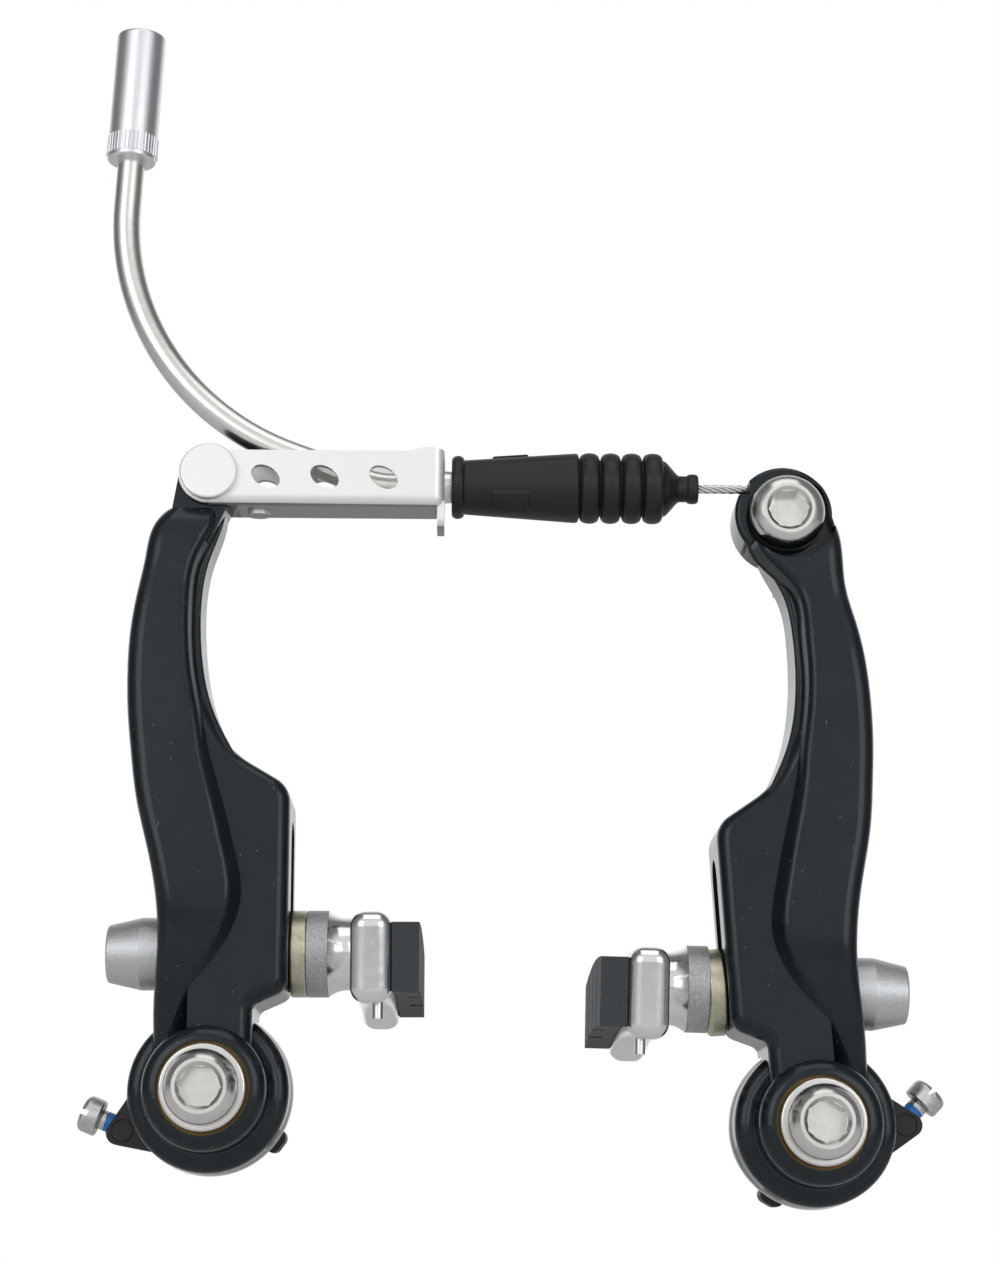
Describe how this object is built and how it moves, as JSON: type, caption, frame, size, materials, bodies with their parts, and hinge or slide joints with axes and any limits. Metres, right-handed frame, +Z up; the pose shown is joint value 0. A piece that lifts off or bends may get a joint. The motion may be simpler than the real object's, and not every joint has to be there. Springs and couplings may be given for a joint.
{
  "type": "v brake",
  "caption": "Bicycle linear-pull rim brake: sprung black arms with brake pads on ball seats, joined by a cable link, bent cable guide tube, rubber boot and wire.",
  "frame": {"origin": "midway between the two pivot axes, in the plane of the rear ends of the pivot sleeves, where the frame bosses meet the brake", "axes": "+X to the right as seen from the front, +Y back along the pivots towards the frame, +Z up"},
  "size_m": [0.1499, 0.0581, 0.1948],
  "materials": {
    "black_paint": "gloss black over aluminium",
    "brass": "machined",
    "zinc_steel": "bright zinc",
    "black_plastic": "moulded",
    "stainless": "satin",
    "spring_steel": "drawn",
    "yellow_zinc": "yellow zinc",
    "cast_grey": "sintered",
    "blasted_aluminium": "blasted",
    "polished_aluminium": "polished",
    "pad_rubber": "moulded",
    "boot_rubber": "moulded",
    "wire_steel": "stranded"
  },
  "bodies": {
    "boss_mounts": {"left_pivot_sleeve": "zinc_steel", "left_pivot_washer": "zinc_steel", "left_pivot_bolt": "zinc_steel", "left_spring_holder": "black_plastic", "left_spring_plate": "stainless", "left_return_spring": "spring_steel", "right_pivot_sleeve": "zinc_steel", "right_pivot_washer": "zinc_steel", "right_pivot_bolt": "zinc_steel", "right_spring_holder": "black_plastic", "right_spring_plate": "stainless", "right_return_spring": "spring_steel"},
    "left_arm": {"left_arm": "black_paint", "left_pivot_bush": "brass", "link_rivet": "stainless"},
    "right_arm": {"right_arm": "black_paint", "right_pivot_bush": "brass", "anchor_bolt": "zinc_steel", "anchor_washer": "zinc_steel", "wire_tail": "wire_steel"},
    "cable_link": {"cable_link": "stainless"},
    "noodle": {"noodle_tube": "stainless", "noodle_ferrule": "polished_aluminium", "noodle_tip": "blasted_aluminium", "wire_in_noodle": "wire_steel", "boot": "boot_rubber"},
    "wire": {"brake_wire": "wire_steel"},
    "left_ball_washers": {"left_inner_ball_washer": "yellow_zinc", "left_outer_ball_washer": "yellow_zinc"},
    "left_pad_clamp": {"left_inner_cup_washer": "cast_grey", "left_outer_cup_washer": "cast_grey", "left_pad_nut": "blasted_aluminium"},
    "left_pad": {"left_pad_holder": "polished_aluminium", "left_pad_stud": "zinc_steel", "left_pad_insert": "pad_rubber", "left_pad_pin": "stainless"},
    "left_tension_screw": {"left_tension_screw": "zinc_steel"},
    "right_ball_washers": {"right_inner_ball_washer": "yellow_zinc", "right_outer_ball_washer": "yellow_zinc"},
    "right_pad_clamp": {"right_inner_cup_washer": "cast_grey", "right_outer_cup_washer": "cast_grey", "right_pad_nut": "blasted_aluminium"},
    "right_pad": {"right_pad_holder": "polished_aluminium", "right_pad_stud": "zinc_steel", "right_pad_insert": "pad_rubber", "right_pad_pin": "stainless"},
    "right_tension_screw": {"right_tension_screw": "zinc_steel"}
  },
  "joints": [
    {"name": "left_arm_pivot", "type": "hinge", "parent": "boss_mounts", "child": "left_arm", "pos_m": [-0.04875, 0, 0], "axis": [0, 1, 0], "range_deg": [0, 5], "stiffness_Nm_per_rad": 0.5, "springref_deg": -45.84, "deforming": ["boot", "wire_in_noodle", "left_return_spring"]},
    {"name": "right_arm_pivot", "type": "hinge", "parent": "boss_mounts", "child": "right_arm", "pos_m": [0.04875, 0, 0], "axis": [0, 1, 0], "range_deg": [-5, 0], "stiffness_Nm_per_rad": 0.5, "springref_deg": 45.84, "deforming": ["right_return_spring", "boot", "wire_in_noodle"]},
    {"name": "link_pivot", "type": "hinge", "parent": "left_arm", "child": "cable_link", "pos_m": [-0.05623, -0.0115, 0.10149], "axis": [0, 1, 0], "range_deg": [-4.2, 0]},
    {"name": "wire_pivot", "type": "hinge", "parent": "right_arm", "child": "wire", "pos_m": [0.03447, -0.0115, 0.10519], "axis": [0, 1, 0], "range_deg": [0, 5.8]},
    {"name": "noodle_swivel", "type": "hinge", "parent": "cable_link", "child": "noodle", "pos_m": [-0.01683, -0.0115, 0.10264], "axis": [0.9988, 0, 0.0497], "range_deg": [-12, 12]},
    {"name": "left_pad_height", "type": "slide", "parent": "left_arm", "child": "left_ball_washers", "axis": [-0.0558, 0, 0.9984], "range_m": [0, 0.015]},
    {"name": "left_pad_tilt", "type": "hinge", "parent": "left_ball_washers", "child": "left_pad_clamp", "pos_m": [-0.04111, -0.008, 0.02276], "axis": [0, 1, 0], "range_deg": [-6, 6]},
    {"name": "left_pad_turn", "type": "hinge", "parent": "left_pad_clamp", "child": "left_pad", "pos_m": [-0.04111, -0.008, 0.02276], "axis": [0.9984, 0, 0.0558], "range_deg": [-8, 8]},
    {"name": "left_tension_turn", "type": "hinge", "parent": "boss_mounts", "child": "left_tension_screw", "pos_m": [-0.06498, -0.00265, -0.00562], "axis": [-0.9455, 0, 0.3256], "continuous": true},
    {"name": "right_pad_height", "type": "slide", "parent": "right_arm", "child": "right_ball_washers", "axis": [-0.1132, 0, 0.9936], "range_m": [0, 0.015]},
    {"name": "right_pad_tilt", "type": "hinge", "parent": "right_ball_washers", "child": "right_pad_clamp", "pos_m": [0.03738, -0.008, 0.02115], "axis": [0, 1, 0], "range_deg": [-11, 1]},
    {"name": "right_pad_turn", "type": "hinge", "parent": "right_pad_clamp", "child": "right_pad", "pos_m": [0.03738, -0.008, 0.02115], "axis": [-0.9997, 0, -0.0262], "range_deg": [-8, 8]},
    {"name": "right_tension_turn", "type": "hinge", "parent": "boss_mounts", "child": "right_tension_screw", "pos_m": [0.06562, -0.00265, 0.00325], "axis": [0.6561, 0, 0.7547], "continuous": true}
  ],
  "couplings": [
    {"joint": "right_arm_pivot", "follows": "left_arm_pivot", "ratio": -1},
    {"joint": "link_pivot", "follows": "left_arm_pivot", "ratio": -0.8402},
    {"joint": "wire_pivot", "follows": "left_arm_pivot", "ratio": 1.1598}
  ]
}
